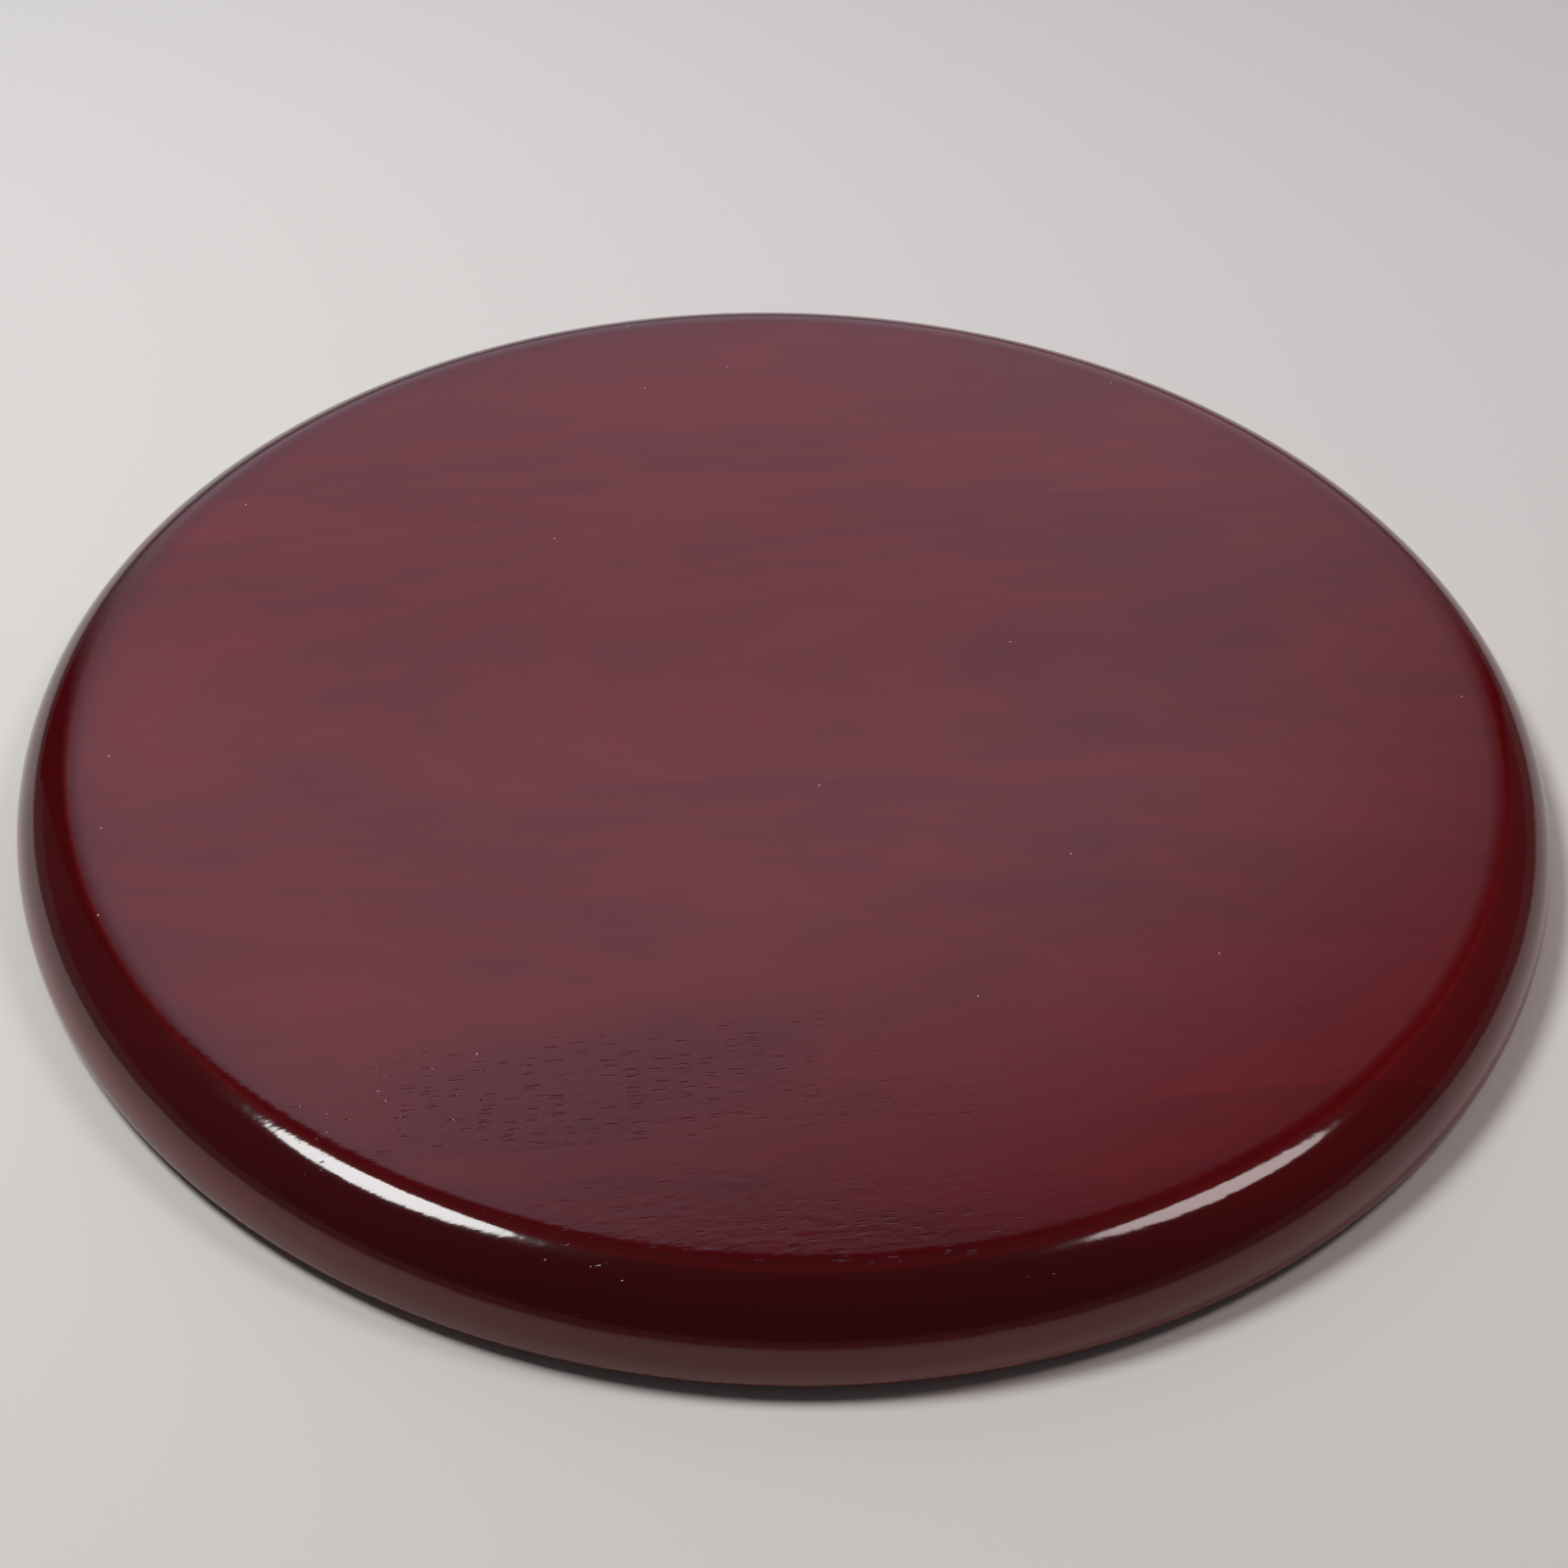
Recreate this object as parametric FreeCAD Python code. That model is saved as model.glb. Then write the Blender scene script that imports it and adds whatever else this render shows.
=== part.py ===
"""Round wooden offering plate.

Four boards are glued edge to edge, turned to a solid disc with a rolled rim, and
lacquered. A felt disc is glued underneath, so that the plate can slide on an altar.

Units are millimetres. +Z is up and the grain runs along X. The origin is the
centre of the felt's lower face, where the plate rests.
"""
import FreeCAD
import Part

import math
import os

# The turned disc
PLATE_DIAMETER = 300.0
WOOD_THICKNESS = 16.0

# The rim, from the top face down to the underside
TOP_EASE_WIDTH = 3.0      # ring inside the arris where the top face starts to fall
TOP_EASE_DROP = 0.2       # how far it has fallen at the arris
ARRIS_SLOPE = 10.0        # degrees below level at which the roll leaves the arris
RIM_WALL_HEIGHT = 1.0     # upright band between the roll and the lower edge
FOOT_EASE_RADIUS = 1.5    # rounding of the lower edge

# Glue lines, as distances from the centre across the grain. -Y is the front.
BACK_JOINT_Y = 60.5
MIDDLE_JOINT_Y = -24.5
FRONT_JOINT_Y = -110.0

# The felt under the plate
FELT_THICKNESS = 2.0
FELT_EDGE_MARGIN = 12.0   # bare wood left between the felt and the lower edge

# Each board is this much longer and wider than the disc before it is turned
SAWN_ALLOWANCE = 5.0

plate_radius = PLATE_DIAMETER / 2
underside_z = FELT_THICKNESS
top_z = underside_z + WOOD_THICKNESS


def point(radius, height):
    """A point of the section, which lies in the XZ plane."""
    return FreeCAD.Vector(radius, 0, height)


def arc_point(centre, radius, elevation):
    """The point of an arc where its outward normal rises by elevation, in radians."""
    offset = point(radius * math.cos(elevation), radius * math.sin(elevation))
    return centre + offset


def line(start, end):
    return Part.LineSegment(start, end).toShape()


def arc(start, middle, end):
    return Part.Arc(start, middle, end).toShape()


def top_ease(arris):
    """The last ring of the top face: an arc that leaves the level top tangentially."""
    width, drop = TOP_EASE_WIDTH, TOP_EASE_DROP
    radius = (width**2 + drop**2) / (2 * drop)
    centre = point(arris.x - width, top_z - radius)
    start = arc_point(centre, radius, math.pi / 2)
    half_turn = math.asin(width / radius) / 2
    return start, arc(start, arc_point(centre, radius, math.pi / 2 - half_turn), arris)


def rim_roll():
    """The large arc of the rim, tangent to the upright band and meeting the arris."""
    slope = math.radians(ARRIS_SLOPE)
    wall_top = underside_z + FOOT_EASE_RADIUS + RIM_WALL_HEIGHT
    radius = (top_z - TOP_EASE_DROP - wall_top) / math.cos(slope)
    centre = point(plate_radius - radius, wall_top)
    arris_elevation = math.pi / 2 - slope
    arris = arc_point(centre, radius, arris_elevation)
    wall_point = arc_point(centre, radius, 0)
    middle = arc_point(centre, radius, arris_elevation / 2)
    return arris, wall_point, arc(arris, middle, wall_point)


def foot_ease():
    """The rounded lower edge, from the upright band to the level underside."""
    centre = point(plate_radius - FOOT_EASE_RADIUS, underside_z + FOOT_EASE_RADIUS)
    start = arc_point(centre, FOOT_EASE_RADIUS, 0)
    middle = arc_point(centre, FOOT_EASE_RADIUS, -math.pi / 4)
    end = arc_point(centre, FOOT_EASE_RADIUS, -math.pi / 2)
    return start, end, arc(start, middle, end)


def turned_disc():
    """The whole plate as it leaves the lathe: one section revolved about Z."""
    arris, wall_top, roll = rim_roll()
    ease_start, ease = top_ease(arris)
    wall_foot, underside_edge, foot = foot_ease()
    top_centre = point(0, top_z)
    underside_centre = point(0, underside_z)
    section = Part.Wire([
        line(top_centre, ease_start),
        ease,
        roll,
        line(wall_top, wall_foot),
        foot,
        line(underside_edge, underside_centre),
        line(underside_centre, top_centre),
    ])
    axis = FreeCAD.Vector(0, 0, 1)
    return Part.Face(section).revolve(underside_centre, axis, 360)


def sawn_board(front_y, back_y):
    """The square-edged board that one strip of the disc is turned from."""
    half_length = plate_radius + SAWN_ALLOWANCE
    corner = FreeCAD.Vector(-half_length, front_y, underside_z - SAWN_ALLOWANCE)
    height = WOOD_THICKNESS + 2 * SAWN_ALLOWANCE
    return Part.makeBox(2 * half_length, back_y - front_y, height, corner)


def glued_boards():
    """The disc parted along its glue lines, from the front board to the back one."""
    disc = turned_disc()
    outside = plate_radius + SAWN_ALLOWANCE
    edges = [-outside, FRONT_JOINT_Y, MIDDLE_JOINT_Y, BACK_JOINT_Y, outside]
    names = ["front_board", "front_centre_board", "back_centre_board", "back_board"]
    return {
        name: disc.common(sawn_board(front_y, back_y))
        for name, front_y, back_y in zip(names, edges, edges[1:])
    }


def felt_base():
    """The felt disc, glued flat to the underside and clear of the rounded edge."""
    radius = plate_radius - FOOT_EASE_RADIUS - FELT_EDGE_MARGIN
    return Part.makeCylinder(radius, FELT_THICKNESS)


def main():
    pieces = glued_boards()
    pieces["felt_base"] = felt_base()
    os.makedirs("parts", exist_ok=True)
    for name, shape in pieces.items():
        solid = shape.Solids[0]
        solid.exportStep(f"parts/{name}.step")
        box = solid.optimalBoundingBox(False, False)
        print(f"{name}: {box.XLength:.1f} x {box.YLength:.1f} x {box.ZLength:.1f} mm,",
              f"{solid.Volume / 1000:.1f} cm3")


main()
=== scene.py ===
# %% [markdown]
# # A lacquered wooden offering plate
#
# The plate is a turned disc of glued mahogany boards with a glossy red lacquer. It has no bowl
# and no ornament, so everything that the eye enjoys is in two places: the rolled rim, which bends
# the lights of the room into long streaks, and the flat top, which mirrors them as a soft haze
# over the red wood. The lesson builds those surfaces with care, and then lights them.

import math

import bmesh
import bpy
from mathutils import Matrix, Vector, noise


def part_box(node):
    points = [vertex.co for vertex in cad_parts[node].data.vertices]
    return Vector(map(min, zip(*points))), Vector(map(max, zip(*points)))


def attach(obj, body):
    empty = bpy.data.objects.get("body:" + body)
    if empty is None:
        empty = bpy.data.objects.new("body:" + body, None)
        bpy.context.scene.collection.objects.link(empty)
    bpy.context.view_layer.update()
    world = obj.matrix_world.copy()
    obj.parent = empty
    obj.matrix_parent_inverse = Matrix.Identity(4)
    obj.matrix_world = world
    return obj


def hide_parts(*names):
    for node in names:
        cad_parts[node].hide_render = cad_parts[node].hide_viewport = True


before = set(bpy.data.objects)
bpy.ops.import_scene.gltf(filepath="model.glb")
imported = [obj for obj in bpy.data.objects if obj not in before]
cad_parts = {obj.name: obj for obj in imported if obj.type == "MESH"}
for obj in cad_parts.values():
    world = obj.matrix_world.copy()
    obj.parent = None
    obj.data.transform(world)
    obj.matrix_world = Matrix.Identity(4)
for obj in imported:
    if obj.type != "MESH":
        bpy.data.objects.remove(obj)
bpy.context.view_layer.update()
BOARDS = ["front_board", "front_centre_board", "back_centre_board", "back_board"]
print("CAD nodes:", sorted(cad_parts))

# %% Sizes taken from the plate
MM = 0.001
boxes = {node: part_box(node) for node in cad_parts}
plate_radius = boxes["back_centre_board"][1].x
underside_z = boxes["back_board"][0].z
top_z = boxes["back_board"][1].z
felt_radius = boxes["felt_base"][1].x
print(f"plate radius {plate_radius / MM:.1f} mm, wood {(top_z - underside_z) / MM:.1f} mm thick")

# %% [markdown]
# ## The turned section
#
# A lathe leaves the same section all round the disc. From the top inwards it is: a level face, a
# narrow ring that eases down to the arris, the large roll, a short upright band, and a small
# rounding at the foot. A section like this could be bevelled from a cylinder, but a bevel can't
# change its radius on the way. Here it is drawn as arcs, as the turner's template would be, and
# every arc is cut finely, because a gloss surface shows each flat as a kink in its reflections.

# %% The template's sizes
TOP_EASE_WIDTH = 3.0 * MM
TOP_EASE_DROP = 0.2 * MM
ARRIS_SLOPE = math.radians(10)
RIM_WALL_HEIGHT = 1.0 * MM
FOOT_EASE_RADIUS = 1.5 * MM

wall_top_z = underside_z + FOOT_EASE_RADIUS + RIM_WALL_HEIGHT
roll_radius = (top_z - TOP_EASE_DROP - wall_top_z) / math.cos(ARRIS_SLOPE)
arris_radius = plate_radius - roll_radius * (1 - math.sin(ARRIS_SLOPE))
print(f"roll radius {roll_radius / MM:.2f} mm, arris at {arris_radius / MM:.2f} mm")


# %% Draw the section
def arc(centre_r, centre_z, radius, start, end, steps):
    """Points of an arc. The angles are the elevations of its outward normal."""
    turns = [start + (end - start) * i / steps for i in range(steps + 1)]
    return [(centre_r + radius * math.cos(t), centre_z + radius * math.sin(t)) for t in turns]


def turned_section():
    """The outline from the centre of the top, round the rim, to the centre of the underside."""
    level = math.pi / 2
    ease_radius = (TOP_EASE_WIDTH**2 + TOP_EASE_DROP**2) / (2 * TOP_EASE_DROP)
    ease_end = level - math.asin(TOP_EASE_WIDTH / ease_radius)
    ease = arc(arris_radius - TOP_EASE_WIDTH, top_z - ease_radius, ease_radius, level, ease_end, 8)
    roll = arc(plate_radius - roll_radius, wall_top_z, roll_radius, level - ARRIS_SLOPE, 0, 48)
    foot_centre = (plate_radius - FOOT_EASE_RADIUS, underside_z + FOOT_EASE_RADIUS)
    foot = arc(*foot_centre, FOOT_EASE_RADIUS, 0, -level, 8)
    return ease + roll[1:] + foot


section = turned_section()
print(f"{len(section)} points in the section")

# %% [markdown]
# ## Turning the disc and parting the boards
#
# The boards were glued first and turned afterwards, so the rim runs on from board to board
# without a step. The code works in the same order: the section is spun once into a whole disc,
# and each board is that disc cut at its two glue lines. Cutting a finished disc keeps the surfaces
# of neighbouring boards exactly in line, which four separate shapes would not promise.

# %% Spin the section
RIM_STEPS = 480


def turned_disc():
    """The whole disc as a mesh: rings of quads round the rim, and one face above and below."""
    mesh = bmesh.new()
    rings = []
    for radius, height in section:
        turns = [math.tau * i / RIM_STEPS for i in range(RIM_STEPS)]
        rings.append([mesh.verts.new((radius * math.cos(t), radius * math.sin(t), height))
                      for t in turns])
    for upper, lower in zip(rings, rings[1:]):
        for i in range(RIM_STEPS):
            j = (i + 1) % RIM_STEPS
            mesh.faces.new((upper[i], lower[i], lower[j], upper[j]))
    mesh.faces.new(rings[0])
    mesh.faces.new(list(reversed(rings[-1])))
    bmesh.ops.recalc_face_normals(mesh, faces=mesh.faces)
    return mesh


# %% Part the boards along the glue lines
SHARP_EDGE = math.radians(40)


def parted_board(node):
    """One board: the disc cut off at the front and back glue lines, and closed there."""
    mesh = turned_disc()
    front_y, back_y = boxes[node][0].y, boxes[node][1].y
    for y, outside in ((front_y, -1), (back_y, 1)):
        if abs(y) > plate_radius * 0.99:
            continue
        cut = bmesh.ops.bisect_plane(
            mesh, geom=mesh.verts[:] + mesh.edges[:] + mesh.faces[:], dist=1e-9,
            plane_co=(0, y, 0), plane_no=(0, outside, 0), clear_outer=True)
        edges = [e for e in cut["geom_cut"] if isinstance(e, bmesh.types.BMEdge)]
        bmesh.ops.contextual_create(mesh, geom=edges)
    bmesh.ops.recalc_face_normals(mesh, faces=mesh.faces)
    data = bpy.data.meshes.new(f"turned_{node}")
    mesh.to_mesh(data)
    mesh.free()
    data.shade_smooth()
    data.set_sharp_from_angle(angle=SHARP_EDGE)
    piece = bpy.data.objects.new(f"turned_{node}", data)
    bpy.context.scene.collection.objects.link(piece)
    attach(piece, "root")
    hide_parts(node)
    return piece


boards = {node: parted_board(node) for node in BOARDS}
for node, piece in boards.items():
    print(node, "is", len(piece.data.polygons), "faces")

# %% [markdown]
# ## Colours and nodes
#
# Colours are written as the hex values that a paint chart gives, which are sRGB. Blender's
# sockets want linear light, so one function turns them. A second small function adds any node
# with its settings and its links, which keeps each material readable from top to bottom. Two
# steps that every material here repeats, mixing two colours and a smooth step, get names too.

# %% The helpers
def linear(hex_colour):
    """An sRGB hex colour as linear red, green, blue and alpha."""
    values = [int(hex_colour[i:i + 2], 16) / 255 for i in (1, 3, 5)]
    turned = [v / 12.92 if v <= 0.04045 else ((v + 0.055) / 1.055) ** 2.4 for v in values]
    return (*turned, 1.0)


def add(tree, kind, inputs=None, **settings):
    """Adds a node. Inputs are set to values, or linked where the value is another's output."""
    node = tree.nodes.new(kind)
    for name, value in settings.items():
        setattr(node, name, value)
    for key, value in (inputs or {}).items():
        if isinstance(value, bpy.types.NodeSocket):
            tree.links.new(value, node.inputs[key])
        else:
            node.inputs[key].default_value = value
    return node


def new_material(name):
    """A material with only its output, ready for a shader."""
    material = bpy.data.materials.new(name)
    material.use_nodes = True
    material.node_tree.nodes.clear()
    return material, material.node_tree


def blend(tree, factor, first, second):
    """Two colours mixed by a factor."""
    return add(tree, "ShaderNodeMix", {"Factor": factor, "A": first, "B": second},
               data_type="RGBA").outputs["Result"]


def ramp(tree, value, start, end, low=0.0, high=1.0):
    """A smooth step from low to high as the value goes from start to end."""
    return add(tree, "ShaderNodeMapRange",
               {"Value": value, "From Min": start, "From Max": end, "To Min": low,
                "To Max": high}, interpolation_type="SMOOTHSTEP").outputs["Result"]


print("helpers ready")

# %% [markdown]
# ## Mahogany under gloss lacquer
#
# Mahogany is a red-brown wood with an open grain: its pores are long vessels that the saw cuts
# into fine dark dashes along the board. The plate was stained deep red, filled, and sprayed with
# clear lacquer that was rubbed to a gloss. The eye gets three layers from that: the stained wood,
# which is a very saturated dark red; the lacquer, which mirrors the room but only by a twentieth
# when seen from above; and the dashes, where the lacquer has sunk a little into the pores.
#
# A flat image of wood would stop at the rim. This material is a small log instead: every
# pattern is worked out in three dimensions, in millimetres, so the grain runs over the roll and
# down to the foot as it does in turned wood.

# %% A log to cut boards from
RING_SPACING = 7.0      # growth rings are wide in plantation mahogany
RING_TURN = 0.86        # how far through the year's growth the tone turns back
FIBRE_LENGTH, FIBRE_WIDTH = 14.0, 0.7
CLOUD_SIZE = 26.0       # slow changes of tone, where the stain soaked in unevenly
RING_TONE, FIBRE_TONE, CLOUD_TONE = 0.22, 0.7, 1.0      # how much of the tone each one makes
LIGHTEST_TONE = -0.46   # added to their sum, so that it runs from about zero to one


def millimetres(tree):
    """The place on the plate in millimetres, and its distance from the turning centre."""
    place = add(tree, "ShaderNodeTexCoord").outputs["Object"]
    place = add(tree, "ShaderNodeVectorMath", {0: place, "Scale": 1 / MM}, operation="SCALE")
    place = place.outputs["Vector"]
    axes = add(tree, "ShaderNodeSeparateXYZ", {"Vector": place}).outputs
    flat = add(tree, "ShaderNodeVectorMath", {0: place, 1: (1, 1, 0)}, operation="MULTIPLY")
    reach = add(tree, "ShaderNodeVectorMath", {0: flat.outputs["Vector"]}, operation="LENGTH")
    return place, axes, reach.outputs["Value"]


def stretched(tree, place, shift, along, across):
    """Coordinates in which a pattern is long with the grain and narrow across it."""
    return add(tree, "ShaderNodeMapping",
               {"Vector": place, "Location": (shift, shift / 3, 0),
                "Scale": (1 / along, 1 / across, 1 / across)}).outputs["Vector"]


def growth_tone(tree, place, pith, depth, tilt, shift):
    """Zero to one: growth rings round the pith, fine fibres along it, and clouds of stain."""
    log = add(tree, "ShaderNodeMapping",
              {"Vector": place, "Location": (0, -pith, depth), "Rotation": (0, tilt, 0.02)})
    rings = add(tree, "ShaderNodeTexWave",
                {"Vector": log.outputs["Vector"], "Scale": math.tau / 20 / RING_SPACING,
                 "Distortion": 6.0, "Detail": 4.0, "Detail Scale": 0.5, "Detail Roughness": 0.6},
                wave_type="RINGS", rings_direction="X", wave_profile="SAW").outputs["Fac"]
    slow = add(tree, "ShaderNodeMapRange", {"Value": rings, "From Max": RING_TURN})
    fast = add(tree, "ShaderNodeMapRange", {"Value": rings, "From Min": 1.0, "From Max": RING_TURN})
    year = add(tree, "ShaderNodeMath",
               {0: slow.outputs["Result"], 1: fast.outputs["Result"]}, operation="MINIMUM")
    fibres = add(tree, "ShaderNodeTexNoise",
                 {"Vector": stretched(tree, place, shift, FIBRE_LENGTH, FIBRE_WIDTH),
                  "Scale": 1.0, "Detail": 4.0, "Roughness": 0.6})
    clouds = add(tree, "ShaderNodeTexNoise",
                 {"Vector": stretched(tree, place, shift, 2.2 * CLOUD_SIZE, CLOUD_SIZE),
                  "Scale": 1.0, "Detail": 3.0})
    tone = add(tree, "ShaderNodeMath",
               {0: year.outputs["Value"], 1: RING_TONE, 2: LIGHTEST_TONE},
               operation="MULTIPLY_ADD")
    for pattern, strength in ((fibres, FIBRE_TONE), (clouds, CLOUD_TONE)):
        tone = add(tree, "ShaderNodeMath",
                   {0: pattern.outputs["Fac"], 1: strength, 2: tone.outputs["Value"]},
                   operation="MULTIPLY_ADD")
    return tone.outputs["Value"], fibres.outputs["Fac"], clouds.outputs["Fac"]


print("rings", RING_SPACING, "mm apart; fibres", FIBRE_WIDTH, "mm wide")

# %% [markdown]
# ## Pores
#
# Each pore is a dash. A Voronoi pattern scatters one point in every cell, so it is the natural
# tool: the cells are stretched along the grain, and the ground near each point becomes the dash.
# Left like that, every cell would hold one and the wood would look woven. The random colour of
# the cell decides how large its pore is, and most cells get none. Open grain gathers in a long
# patch, where the saw met the vessels at a slant, so a board that has one says where.

# %% Cut the pores open
PORE_CELL_LENGTH, PORE_CELL_WIDTH = 4.2, 0.6
PORE_REACH = 0.36       # of a cell, for the largest; real ones are finer than can be seen from here
PORE_SHUFFLE = (3.0, 0.6, 0.6)      # in millimetres; it breaks up the rows of the pattern
PORE_LEAST = 0.12       # chance left over before a cell gets a pore
OPEN_IN_CLOUDS, OPEN_OFFSET, OPEN_IN_PATCH = 1.3, -0.50, 0.75
ROLL_FILLED = 0.2       # filler was rubbed harder into the roll, by hand


def open_pores(tree, place, clouds, patch, half_size, on_roll, shift):
    """How far a place is inside a pore, in cells, and how open the grain is there."""
    open_grain = add(tree, "ShaderNodeMath",
                     {0: clouds, 1: OPEN_IN_CLOUDS, 2: OPEN_OFFSET},
                     operation="MULTIPLY_ADD", use_clamp=not patch).outputs["Value"]
    if patch:
        (x, y), (along, across) = patch, half_size
        off = add(tree, "ShaderNodeMapping",
                  {"Vector": place, "Location": (-x / along, -y / across, 0),
                   "Scale": (1 / along, 1 / across, 0)})
        off = add(tree, "ShaderNodeVectorMath", {0: off.outputs["Vector"]}, operation="LENGTH")
        near = ramp(tree, off.outputs["Value"], 1.0, 0.0)
        open_grain = add(tree, "ShaderNodeMath",
                         {0: near, 1: OPEN_IN_PATCH, 2: open_grain},
                         operation="MULTIPLY_ADD", use_clamp=True).outputs["Value"]
    wobble = add(tree, "ShaderNodeTexNoise", {"Vector": place, "Scale": 0.6, "Detail": 3.0})
    bent = add(tree, "ShaderNodeVectorMath",
               {0: wobble.outputs["Color"], 1: PORE_SHUFFLE, 2: place},
               operation="MULTIPLY_ADD")
    cells = add(tree, "ShaderNodeTexVoronoi",
                {"Vector": stretched(tree, bent.outputs["Vector"], shift, PORE_CELL_LENGTH,
                                     PORE_CELL_WIDTH), "Scale": 1.0})
    chance = add(tree, "ShaderNodeSeparateColor", {"Color": cells.outputs["Color"]})
    chosen = add(tree, "ShaderNodeMath",
                 {0: open_grain, 1: chance.outputs["Red"]}, operation="SUBTRACT")
    chosen = add(tree, "ShaderNodeMath",
                 {0: on_roll, 1: -ROLL_FILLED, 2: chosen.outputs["Value"]},
                 operation="MULTIPLY_ADD")
    reach = add(tree, "ShaderNodeMapRange",
                {"Value": chosen.outputs["Value"], "From Min": PORE_LEAST,
                 "From Max": PORE_LEAST + 0.5, "To Min": 0.0, "To Max": PORE_REACH})
    inside = add(tree, "ShaderNodeMath",
                 {0: reach.outputs["Result"], 1: cells.outputs["Distance"]},
                 operation="SUBTRACT", use_clamp=True)
    return inside.outputs["Value"], open_grain


print(f"a large pore is {2 * PORE_REACH * PORE_CELL_LENGTH:.1f} mm long and "
      f"{2 * PORE_REACH * PORE_CELL_WIDTH:.2f} mm wide")

# %% [markdown]
# ## Stain, toner and painted light
#
# The face was wiped with red stain. The rim then had a darker toner, which is densest where the
# roll turns away. Two lighter reds on the rim are painted light: low on the roll the red is painted
# lighter for the light that the floor throws up onto it, and towards the right the toner is painted
# lighter for the stronger light that falls on that side. Rubbing down took a little of the toner
# off again along the arris and at the foot. Distance from the turning centre and height are enough
# to say where each one is, because the plate is round.

# %% Colours of the stained wood
STAIN_LIGHT = "#7c1b20"
STAIN_DEEP = "#641319"
TONER = "#4b0c10"
# The next two reds are painted light: the toner on the right side of the rim, where more light
# falls, and the red of the lower rim, where the floor lights it.
TONER_PAINTED_LIT_RIGHT = "#600d11"
TONER_PAINTED_FLOOR_LIGHT = "#74181b"
RUBBED_RED = "#8c1c18"
FOOT_WORN = "#8e4a34"
PORE_DARK = "#260508"
TONER_INSIDE, TONER_FULL = -6.5, 2.5    # from the arris, in millimetres
PAINTED_RIGHT_LIGHT_FROM, PAINTED_RIGHT_LIGHT_TO = 5, 85    # painted light: the rim is painted lighter towards the right, where more light falls
# Heights in millimetres: from the first down to the second, the lower rim turns to painted floor
# light
PAINTED_FLOOR_LIGHT_TOP, PAINTED_FLOOR_LIGHT_LOW = 13.0, 9.0
ARRIS_RUBBED_WIDTH = 0.9
FOOT_WORN_HEIGHT = 0.7
TONER_STRENGTH, RUBBED_STRENGTH = 0.96, 0.4


def stained(tree, tone, axes, reach, fibres):
    """The wood's colour from the face, over the arris and roll, to the foot, with painted light on
    the rim.
    """
    face = blend(tree, tone, linear(STAIN_LIGHT), linear(STAIN_DEEP))
    past = add(tree, "ShaderNodeMath", {0: reach, 1: arris_radius / MM}, operation="SUBTRACT")
    past = past.outputs["Value"]
    # Painted light: the toner is painted lighter towards the right, and lighter again low on the
    # roll, where the floor lights it.
    painted_floor_light = ramp(tree, axes["Z"], PAINTED_FLOOR_LIGHT_TOP, PAINTED_FLOOR_LIGHT_LOW)
    painted_right_light = ramp(tree, axes["X"], PAINTED_RIGHT_LIGHT_FROM, PAINTED_RIGHT_LIGHT_TO)
    toner = blend(tree, painted_right_light, linear(TONER), linear(TONER_PAINTED_LIT_RIGHT))
    toner = blend(tree, painted_floor_light, toner, linear(TONER_PAINTED_FLOOR_LIGHT))
    sprayed = ramp(tree, past, TONER_INSIDE, TONER_FULL, 0.0, TONER_STRENGTH)
    colour = blend(tree, sprayed, face, toner)
    off_arris = add(tree, "ShaderNodeMath", {0: past}, operation="ABSOLUTE").outputs["Value"]
    rubbed = ramp(tree, off_arris, ARRIS_RUBBED_WIDTH, 0.0, 0.0, RUBBED_STRENGTH)
    rubbed = add(tree, "ShaderNodeMath", {0: rubbed, 1: fibres}, operation="MULTIPLY")
    colour = blend(tree, rubbed.outputs["Value"], colour, linear(RUBBED_RED))
    foot = (underside_z + FOOT_EASE_RADIUS) / MM
    off_foot = add(tree, "ShaderNodeMath", {0: axes["Z"], 1: foot}, operation="SUBTRACT")
    off_foot = add(tree, "ShaderNodeMath", {0: off_foot.outputs["Value"]}, operation="ABSOLUTE")
    worn = ramp(tree, off_foot.outputs["Value"], FOOT_WORN_HEIGHT, 0.0)
    broken = ramp(tree, fibres, 0.42, 0.62)
    worn = add(tree, "ShaderNodeMath", {0: worn, 1: broken}, operation="MULTIPLY")
    return blend(tree, worn.outputs["Value"], colour, linear(FOOT_WORN))


print("toner from", TONER_INSIDE, "to", TONER_FULL, "mm past the arris")

# %% [markdown]
# ## The lacquer itself
#
# Rubbed lacquer is not a perfect mirror. It follows the fibres by a few thousandths of a
# millimetre, it sinks over the pores and along the glue lines, and it carries a few specks of
# dust. Those heights are added up in one chain of bumps, and the shader's own surface reflection
# at an index of 1.5 does the rest. A clear-coat layer over a rough wood would be the other way,
# but the wood under filled lacquer has no shine of its own, so one layer is enough.

# %% Lacquer the boards
LACQUER_IOR = 1.5
LACQUER_ROUGHNESS = 0.055
BEST_POLISH, WORST_POLISH = 0.8, 1.3    # of that roughness, in slow clouds
RIM_DULLED = 0.025      # added on the rim, which no polishing pad reaches flat
RIPPLE_SIZE = 1.8       # millimetres across; what rubbing by hand leaves
RIPPLE_HEIGHT = 0.020 * MM
FACE_RIPPLE = 0.06      # the face was rubbed flat on a block, and the rim by hand
OPEN_GRAIN_RIPPLE = 1.3     # added where lacquer has sunk into open grain
FIBRE_HEIGHT = 0.006 * MM
FILLED_FIBRES = 0.2     # how much of that height is left where the grain is filled
PORE_SLOPE = 0.30       # of a pore's sides; steep enough to lose the mirrored light
PORE_STAIN = 0.35
GLUE_LINE_WIDTH = 0.35
GLUE_LINE_DEPTH = 0.003 * MM
OPEN_GRAIN_SHADE = 0.74  # the stain soaks deeper where the grain is open
DUST_CELL, DUST_SIZE, DUST_CHANCE = 22.0, 0.2, 0.12
DUST_ROUGHENS = 0.6
DUST_WHITE = "#d8d0cc"


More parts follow.
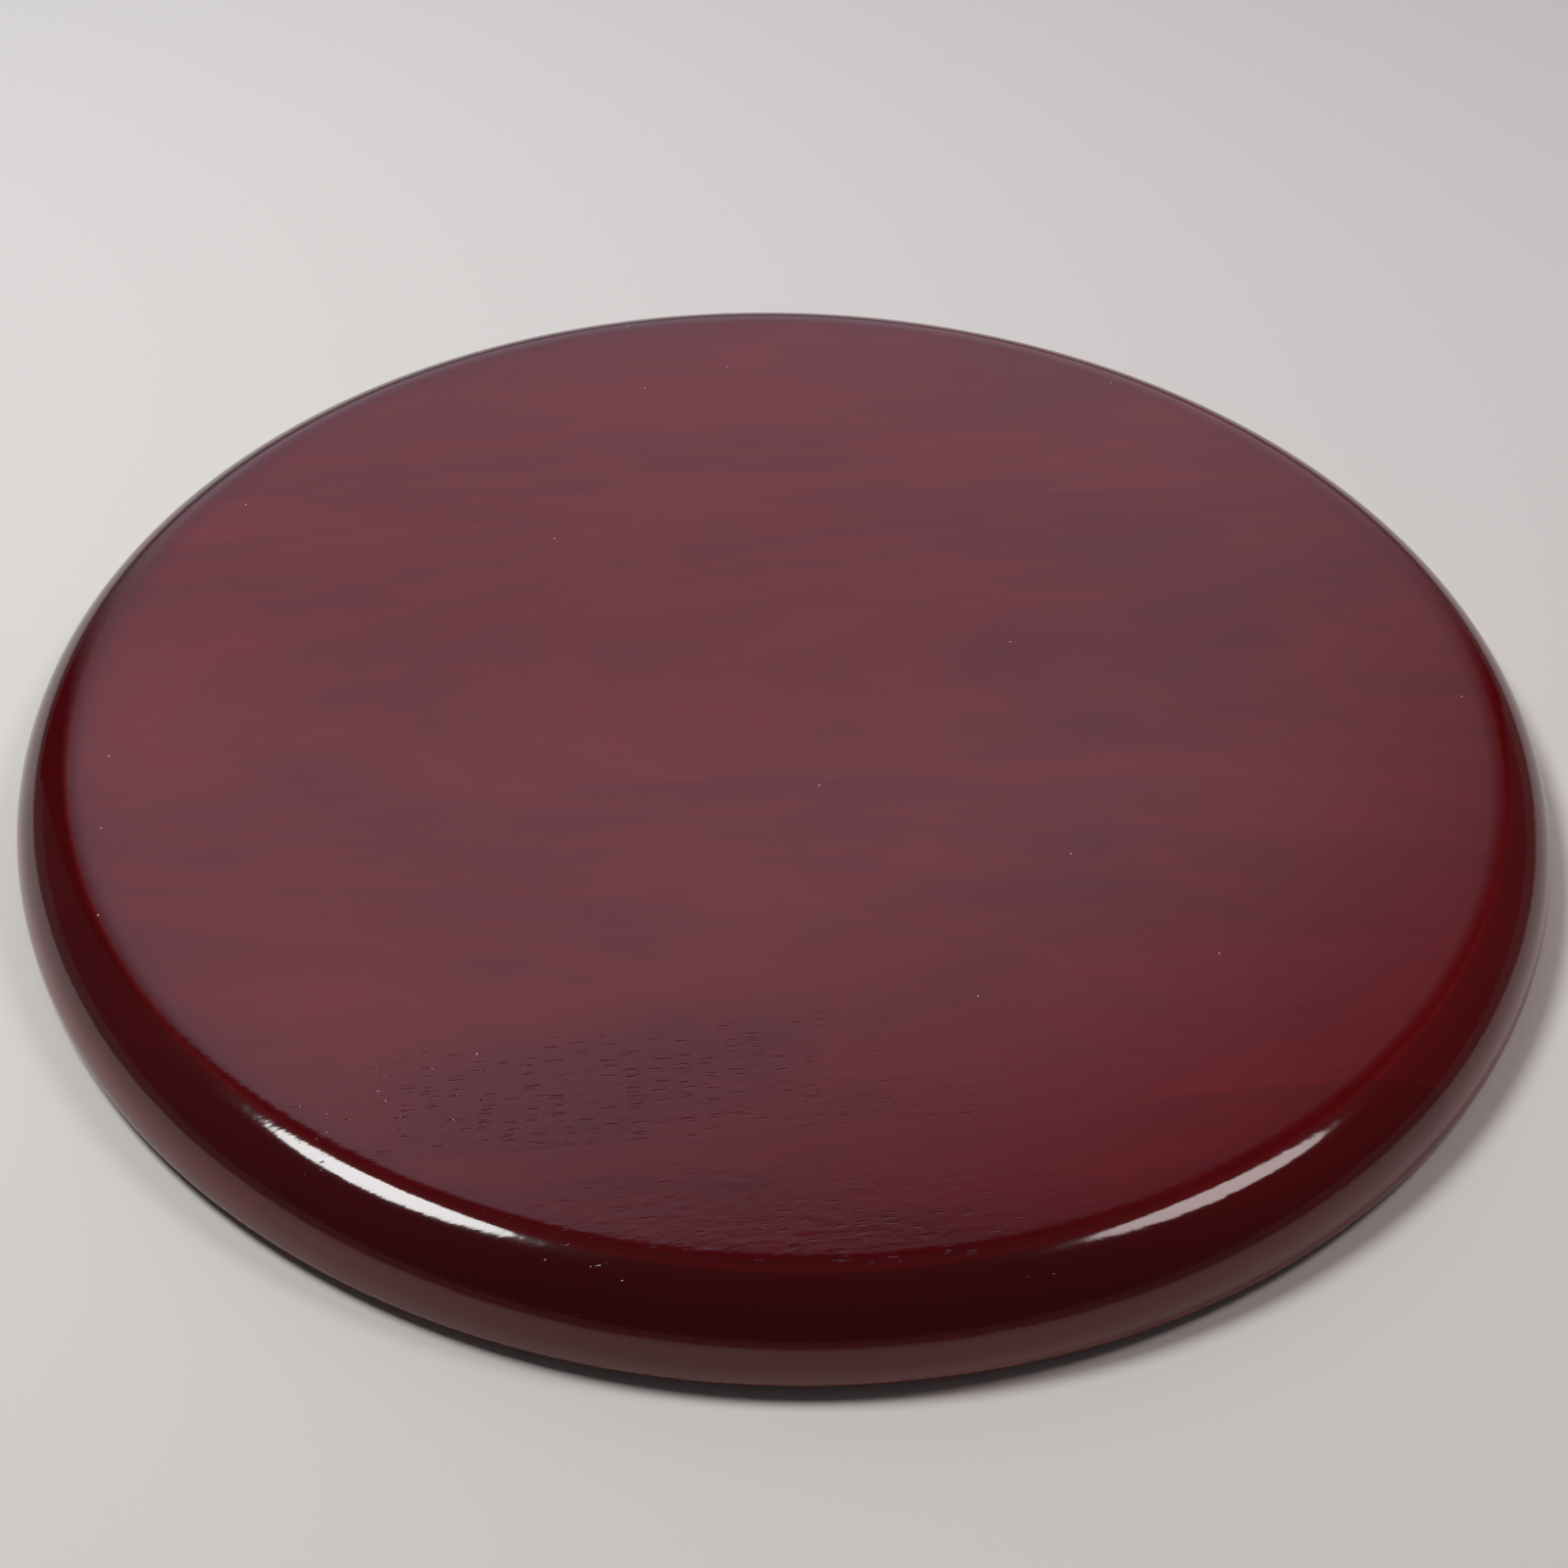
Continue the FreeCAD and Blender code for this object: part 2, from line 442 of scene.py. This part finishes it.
def glue_line(tree, axes, node):
    """One along the board's glued edges, fading within the width of the glue line."""
    lines = []
    for edge in (boxes[node][0].y, boxes[node][1].y):
        off = add(tree, "ShaderNodeMath", {0: axes["Y"], 1: edge / MM}, operation="SUBTRACT")
        off = add(tree, "ShaderNodeMath", {0: off.outputs["Value"]}, operation="ABSOLUTE")
        lines.append(ramp(tree, off.outputs["Value"], GLUE_LINE_WIDTH, 0.0))
    return add(tree, "ShaderNodeMath", {0: lines[0], 1: lines[1]}, operation="MAXIMUM").outputs[0]


def dust(tree, place, reach):
    """One inside a speck of dust. Specks lie on the face, where they settled."""
    cells = add(tree, "ShaderNodeTexVoronoi", {"Vector": place, "Scale": 1 / DUST_CELL},
                voronoi_dimensions="2D")
    speck = ramp(tree, cells.outputs["Distance"], DUST_SIZE / DUST_CELL,
                 0.5 * DUST_SIZE / DUST_CELL)
    chance = add(tree, "ShaderNodeSeparateColor", {"Color": cells.outputs["Color"]})
    landed = add(tree, "ShaderNodeMath", {0: chance.outputs["Red"], 1: DUST_CHANCE},
                 operation="LESS_THAN")
    on_face = add(tree, "ShaderNodeMath", {0: reach, 1: arris_radius / MM}, operation="LESS_THAN")
    speck = add(tree, "ShaderNodeMath", {0: speck, 1: landed.outputs[0]}, operation="MULTIPLY")
    return add(tree, "ShaderNodeMath", {0: speck.outputs[0], 1: on_face.outputs[0]},
               operation="MULTIPLY").outputs["Value"]


def bumped(tree, heights):
    """A normal that follows several heights, each a pattern and its size in metres."""
    normal = None
    for pattern, height in heights:
        inputs = {"Height": pattern, "Distance": abs(height), "Strength": 1.0}
        if normal:
            inputs["Normal"] = normal
        normal = add(tree, "ShaderNodeBump", inputs, invert=height < 0).outputs["Normal"]
    return normal


def lacquered_mahogany(node, pith, depth, tilt, tone, shift, patch=None, half_size=None):
    """The wood of one board. Pith, depth and tilt say how the log's heart ran below it."""
    material, tree = new_material(f"lacquered_mahogany_{node}")
    place, axes, reach = millimetres(tree)
    growth, fibres, clouds = growth_tone(tree, place, pith, depth, tilt, shift)
    on_roll = ramp(tree, reach, arris_radius / MM - 5, arris_radius / MM)
    pore, open_grain = open_pores(tree, place, clouds, patch, half_size, on_roll, shift)
    colour = stained(tree, growth, axes, reach, fibres)
    shade = add(tree, "ShaderNodeMapRange",
                {"Value": open_grain, "To Min": tone, "To Max": tone * OPEN_GRAIN_SHADE})
    colour = add(tree, "ShaderNodeHueSaturation",
                 {"Color": colour, "Value": shade.outputs["Result"]}).outputs["Color"]
    stain = add(tree, "ShaderNodeMapRange",
                {"Value": pore, "From Max": 0.5 * PORE_REACH, "To Max": PORE_STAIN})
    colour = blend(tree, stain.outputs["Result"], colour, linear(PORE_DARK))
    speck = dust(tree, place, reach)
    colour = blend(tree, speck, colour, linear(DUST_WHITE))
    ripple = add(tree, "ShaderNodeTexNoise",
                 {"Vector": stretched(tree, place, 0, 2 * RIPPLE_SIZE, RIPPLE_SIZE),
                  "Scale": 1.0, "Detail": 2.0}).outputs["Fac"]
    on_face = add(tree, "ShaderNodeMath",
                  {0: open_grain, 1: OPEN_GRAIN_RIPPLE, 2: FACE_RIPPLE}, operation="MULTIPLY_ADD")
    by_hand = ramp(tree, reach, arris_radius / MM - 4, arris_radius / MM,
                   on_face.outputs["Value"], 1.0)
    ripple = add(tree, "ShaderNodeMath", {0: ripple, 1: by_hand}, operation="MULTIPLY").outputs[0]
    raised = add(tree, "ShaderNodeMath",
                 {0: open_grain, 1: 1 - FILLED_FIBRES, 2: FILLED_FIBRES},
                 operation="MULTIPLY_ADD").outputs["Value"]
    raised = add(tree, "ShaderNodeMath", {0: raised, 1: fibres}, operation="MULTIPLY")
    normal = bumped(tree, ((ripple, RIPPLE_HEIGHT), (raised.outputs["Value"], FIBRE_HEIGHT),
                           (glue_line(tree, axes, node), -GLUE_LINE_DEPTH),
                           (pore, -PORE_SLOPE * PORE_CELL_WIDTH * MM)))
    dull = add(tree, "ShaderNodeMapRange",
               {"Value": clouds, "From Min": 0.35, "From Max": 0.65,
                "To Min": LACQUER_ROUGHNESS * BEST_POLISH,
                "To Max": LACQUER_ROUGHNESS * WORST_POLISH})
    rough = add(tree, "ShaderNodeMath",
                {0: speck, 1: DUST_ROUGHENS, 2: dull.outputs["Result"]}, operation="MULTIPLY_ADD")
    rough = add(tree, "ShaderNodeMath",
                {0: on_roll, 1: RIM_DULLED, 2: rough.outputs["Value"]}, operation="MULTIPLY_ADD")
    shader = add(tree, "ShaderNodeBsdfPrincipled",
                 {"Base Color": colour, "Roughness": rough.outputs["Value"], "Normal": normal,
                  "IOR": LACQUER_IOR})
    add(tree, "ShaderNodeOutputMaterial", {"Surface": shader.outputs["BSDF"]})
    return material


LOGS = {
    "front_board": dict(pith=-170, depth=70, tilt=0.05, tone=0.84, shift=41,
                        patch=(-20, -130), half_size=(95, 24)),
    "front_centre_board": dict(pith=-95, depth=60, tilt=-0.10, tone=0.98, shift=17,
                               patch=(-50, -102), half_size=(130, 36)),
    "back_centre_board": dict(pith=0, depth=30, tilt=0.19, tone=1.0, shift=5),
    "back_board": dict(pith=130, depth=60, tilt=-0.06, tone=1.04, shift=67),
}
for node, log in LOGS.items():
    boards[node].data.materials.append(lacquered_mahogany(node, **log))
    print(node, "is lacquered; open grain at", log.get("patch", "no one place"))

# %% [markdown]
# ## The felt underneath
#
# Pressed wool felt, two millimetres thick, keeps the plate from scratching an altar. It was cut
# with a round knife, so its edge is upright but a little ragged, and the pressed faces are
# cloudy with fibres. It could be a plain cylinder, but its edge is what shows beside the foot, so
# it is spun from its own small section, and its edge is then roughened by seeded noise.

# %% Cut the felt
FELT_STEPS = 720
FELT_EDGE_ROUND = 0.4 * MM
FELT_RAGGED = 0.12 * MM


def felt_disc():
    """The felt: a disc with softened edges and a ragged cut."""
    thickness = underside_z
    corner = felt_radius - FELT_RAGGED - FELT_EDGE_ROUND
    upper = arc(corner, thickness - FELT_EDGE_ROUND, FELT_EDGE_ROUND, math.pi / 2, 0, 4)
    lower = arc(corner, FELT_EDGE_ROUND, FELT_EDGE_ROUND, 0, -math.pi / 2, 4)
    outline = upper + lower
    mesh = bmesh.new()
    rings = []
    for radius, height in outline:
        ring = []
        for i in range(FELT_STEPS):
            turn = math.tau * i / FELT_STEPS
            direction = Vector((math.cos(turn), math.sin(turn), 0))
            ragged = noise.noise(direction * 90 + Vector((0, 0, height / MM)))
            point = direction * (radius + ragged * FELT_RAGGED)
            ring.append(mesh.verts.new((point.x, point.y, height)))
        rings.append(ring)
    for above, below in zip(rings, rings[1:]):
        for i in range(FELT_STEPS):
            j = (i + 1) % FELT_STEPS
            mesh.faces.new((above[i], below[i], below[j], above[j]))
    mesh.faces.new(rings[0])
    mesh.faces.new(list(reversed(rings[-1])))
    bmesh.ops.recalc_face_normals(mesh, faces=mesh.faces)
    data = bpy.data.meshes.new("felt")
    mesh.to_mesh(data)
    mesh.free()
    data.shade_smooth()
    data.set_sharp_from_angle(angle=SHARP_EDGE)
    piece = bpy.data.objects.new("cut_felt", data)
    bpy.context.scene.collection.objects.link(piece)
    return piece


felt = felt_disc()
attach(felt, "root")
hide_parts("felt_base")

# %% Wool felt, pressed
FELT_COLOUR = "#3a1c1e"
FELT_LIGHT = "#5b3234"
TUFT_SIZE = 0.5         # wool fibres are far finer; this is the size of their tufts
FELT_CLOUD_SIZE = 14.0


def pressed_wool():
    """Matt felt: two tones of tufts, and a soft sheen from the loose fibre ends."""
    material, tree = new_material("pressed_wool_felt")
    place, axes, reach = millimetres(tree)
    tufts = add(tree, "ShaderNodeTexNoise",
                {"Vector": place, "Scale": 1 / TUFT_SIZE, "Detail": 6.0,
                 "Roughness": 0.7, "Distortion": 1.5})
    clouds = add(tree, "ShaderNodeTexNoise",
                 {"Vector": place, "Scale": 1 / FELT_CLOUD_SIZE, "Detail": 3.0})
    mixed = add(tree, "ShaderNodeMath",
                {0: tufts.outputs["Fac"], 1: clouds.outputs["Fac"]}, operation="MULTIPLY")
    tone = add(tree, "ShaderNodeMapRange",
               {"Value": mixed.outputs["Value"], "From Min": 0.12, "From Max": 0.42})
    colour = blend(tree, tone.outputs["Result"], linear(FELT_COLOUR), linear(FELT_LIGHT))
    bump = add(tree, "ShaderNodeBump",
               {"Height": tufts.outputs["Fac"], "Distance": 0.25 * MM, "Strength": 0.9})
    rough = add(tree, "ShaderNodeMapRange",
                {"Value": tufts.outputs["Fac"], "To Min": 0.85, "To Max": 1.0})
    shader = add(tree, "ShaderNodeBsdfPrincipled",
                 {"Base Color": colour, "Roughness": rough.outputs["Result"],
                  "Normal": bump.outputs["Normal"], "Sheen Weight": 0.4,
                  "Sheen Roughness": 0.5})
    add(tree, "ShaderNodeOutputMaterial", {"Surface": shader.outputs["BSDF"]})
    return material


felt.data.materials.append(pressed_wool())
print("felt tufts are", TUFT_SIZE, "mm")

# %% [markdown]
# ## The camera
#
# The plate is seen from above its front edge by a person who is standing close. The camera is a
# slightly long lens, so that the near rim looks only a little larger than the far one, and it is
# rolled by two degrees, as a hand holds it.

# %% Place the camera
GRAIN_TURN = math.radians(8.57)     # the plate lies with its grain turned this much to the view
CAMERA_ELEVATION = math.radians(41.52)
CAMERA_DISTANCE = 0.4900
CAMERA_ROLL = math.radians(1.91)
CAMERA_LENS = 55.85
WIDEST_Z = 0.0037
FRAMING_SHIFT = (-0.0022, -0.0258)


def studio_point(right, away, up):
    """A place in the studio, measured to the right of the view, away from it, and up."""
    turned = Matrix.Rotation(-GRAIN_TURN, 3, "Z") @ Vector((right, away, 0))
    return Vector((turned.x, turned.y, up))


camera_data = bpy.data.cameras.new("camera")
camera_data.lens = CAMERA_LENS
camera_data.sensor_width = 36
camera_data.shift_x, camera_data.shift_y = FRAMING_SHIFT
camera_data.clip_start = 0.01
camera = bpy.data.objects.new("camera", camera_data)
bpy.context.scene.collection.objects.link(camera)
target = Vector((0, 0, WIDEST_Z))
camera.location = studio_point(0, -CAMERA_DISTANCE * math.cos(CAMERA_ELEVATION),
                               WIDEST_Z + CAMERA_DISTANCE * math.sin(CAMERA_ELEVATION))
aim = (target - camera.location).to_track_quat("-Z", "Y").to_matrix().to_4x4()
camera.rotation_euler = (aim @ Matrix.Rotation(CAMERA_ROLL, 4, "Z")).to_euler()
bpy.context.scene.camera = camera
print("camera at", [round(v, 3) for v in camera.location])

# %% [markdown]
# ## The studio
#
# Lacquer shows the room more than itself, so the lights are placed by what they do on the
# plate. Two round softboxes hang overhead, to the left and to the right: the rim stretches each
# one into a streak just outside the arris, and the left one is the stronger. A large white
# screen stands behind, low to high, and the flat top mirrors it as an even haze. The floor is
# pale and curls up a little at its far edge, and it is what the lower rim mirrors. Between
# the screen and the softboxes the room is dark, which keeps the rim deep red.

# %% The floor
FLOOR_WHITE = "#f5f4ef"
FLOOR_FLAT, FLOOR_EDGE = 2.0, 2.4
LIP_FRONT, LIP_BACK = 0.38, 0.62
FLOOR_TURNS, LIP_STEPS = 96, 12


def curled_floor():
    """A round floor whose edge curls up, more behind the plate than in front of it."""
    mesh = bmesh.new()
    middle = mesh.verts.new((0, 0, 0))
    spokes = []
    for i in range(FLOOR_TURNS):
        turn = math.tau * i / FLOOR_TURNS
        away = (1 + math.sin(turn)) / 2
        lip = LIP_FRONT + (LIP_BACK - LIP_FRONT) * away
        spoke = []
        for step in range(LIP_STEPS + 1):
            curl = math.pi / 2 * step / LIP_STEPS
            radius = FLOOR_FLAT + (FLOOR_EDGE - FLOOR_FLAT) * math.sin(curl)
            spot = studio_point(radius * math.cos(turn), radius * math.sin(turn),
                                lip * (1 - math.cos(curl)))
            spoke.append(mesh.verts.new(spot))
        spokes.append(spoke)
    for here, there in zip(spokes, spokes[1:] + spokes[:1]):
        mesh.faces.new((middle, here[0], there[0]))
        for step in range(LIP_STEPS):
            mesh.faces.new((here[step], here[step + 1], there[step + 1], there[step]))
    data = bpy.data.meshes.new("floor")
    mesh.to_mesh(data)
    mesh.free()
    data.shade_smooth()
    floor = bpy.data.objects.new("floor", data)
    bpy.context.scene.collection.objects.link(floor)
    return floor


floor = curled_floor()
floor_paint, tree = new_material("matt_floor_paint")
place, axes, reach = millimetres(tree)
mottle = add(tree, "ShaderNodeTexNoise", {"Vector": place, "Scale": 1 / 90, "Detail": 2.0})
rough = add(tree, "ShaderNodeMapRange",
            {"Value": mottle.outputs["Fac"], "To Min": 0.85, "To Max": 0.95})
shader = add(tree, "ShaderNodeBsdfPrincipled",
             {"Base Color": linear(FLOOR_WHITE), "Roughness": rough.outputs["Result"],
              "Specular IOR Level": 0.0})
add(tree, "ShaderNodeOutputMaterial", {"Surface": shader.outputs["BSDF"]})
floor.data.materials.append(floor_paint)
print("floor", FLOOR_EDGE, "m in radius")


# %% The two softboxes overhead
WARM_LAMP = (1.18, 1.0, 1.0)


def softbox(name, place, size, radiance, colour=(1, 1, 1)):
    """An oval softbox facing straight down. Its power follows from how bright its face is."""
    light = bpy.data.lights.new(name, "AREA")
    light.shape = "ELLIPSE"
    light.size, light.size_y = size
    area = math.pi / 4 * size[0] * size[1]
    light.energy = radiance * math.pi * area
    light.color = colour
    lamp = bpy.data.objects.new(name, light)
    lamp.location = studio_point(*place)
    bpy.context.scene.collection.objects.link(lamp)
    print(f"{name}: {light.energy:.1f} W")
    return lamp


softbox("left_softbox", place=(-0.427, 0.056, 0.90), size=(0.366, 0.31), radiance=18.5)
softbox("right_softbox", place=(0.516, 0.074, 0.90), size=(0.40, 0.265), radiance=7.2,
        colour=WARM_LAMP)

# %% The white screen behind
SCREEN_AWAY = 1.3
SCREEN_LEFT, SCREEN_RIGHT, SCREEN_LOW, SCREEN_HIGH = -1.95, 1.25, 0.25, 2.5
SCREEN_GLOW = 0.85
SCREEN_WHITE = "#e9e9ff"
SLANT = (0.585, 0, 0.811)       # the upper right corner fades out along a slanted line
CORNER_FADE = (2.05, 1.05)      # metres along the slant, from dark to bright
LEFT_FADE, RIGHT_FADE, TOP_FADE = (-1.35, -0.6), (1.2, 0.25), (2.08, 1.98)
UPPER_GLOW = (1.0, 1.3, 0.8, 1.0)       # the lamp behind the cloth stands high,
LOWER_GLOW = (0.8, 0.5, 1.0, 1.18)      # and the floor lights its lower edge again


def white_screen():
    """A flat screen, drawn in its own plane and then stood up behind the plate."""
    mesh = bmesh.new()
    corners = [(SCREEN_LEFT, SCREEN_LOW), (SCREEN_RIGHT, SCREEN_LOW),
               (SCREEN_RIGHT, SCREEN_HIGH), (SCREEN_LEFT, SCREEN_HIGH)]
    mesh.faces.new([mesh.verts.new((right, 0, up)) for right, up in corners])
    data = bpy.data.meshes.new("white_screen")
    mesh.to_mesh(data)
    mesh.free()
    screen = bpy.data.objects.new("white_screen", data)
    screen.location = studio_point(0, SCREEN_AWAY, 0)
    screen.rotation_euler.z = -GRAIN_TURN
    bpy.context.scene.collection.objects.link(screen)
    return screen


screen = white_screen()
screen_cloth, tree = new_material("screen_cloth")
across = add(tree, "ShaderNodeTexCoord").outputs["Object"]
axes = add(tree, "ShaderNodeSeparateXYZ", {"Vector": across}).outputs
slant = add(tree, "ShaderNodeVectorMath", {0: across, 1: SLANT},
            operation="DOT_PRODUCT").outputs["Value"]
glow = ramp(tree, slant, *CORNER_FADE)
for axis, fade in (("X", LEFT_FADE), ("X", RIGHT_FADE), ("Z", UPPER_GLOW), ("Z", LOWER_GLOW),
                   ("Z", TOP_FADE)):
    fade = ramp(tree, axes[axis], *fade)
    glow = add(tree, "ShaderNodeMath", {0: glow, 1: fade}, operation="MULTIPLY").outputs["Value"]
brightest = max(linear(SCREEN_WHITE)[:3])
glow = add(tree, "ShaderNodeMath", {0: glow, 1: SCREEN_GLOW * brightest / linear(SCREEN_WHITE)[1]},
           operation="MULTIPLY")
shader = add(tree, "ShaderNodeEmission",
             {"Color": linear(SCREEN_WHITE), "Strength": glow.outputs["Value"]})
add(tree, "ShaderNodeOutputMaterial", {"Surface": shader.outputs["Emission"]})
screen.data.materials.append(screen_cloth)
print("screen", round(SCREEN_RIGHT - SCREEN_LEFT, 2), "m wide")

# %% The dim room
ROOM_GREY = "#3c3c3e"
world = bpy.data.worlds.new("room")
bpy.context.scene.world = world
world.use_nodes = True
world.node_tree.nodes["Background"].inputs["Color"].default_value = linear(ROOM_GREY)
bpy.context.scene.view_settings.view_transform = "Standard"
print("room is", ROOM_GREY)
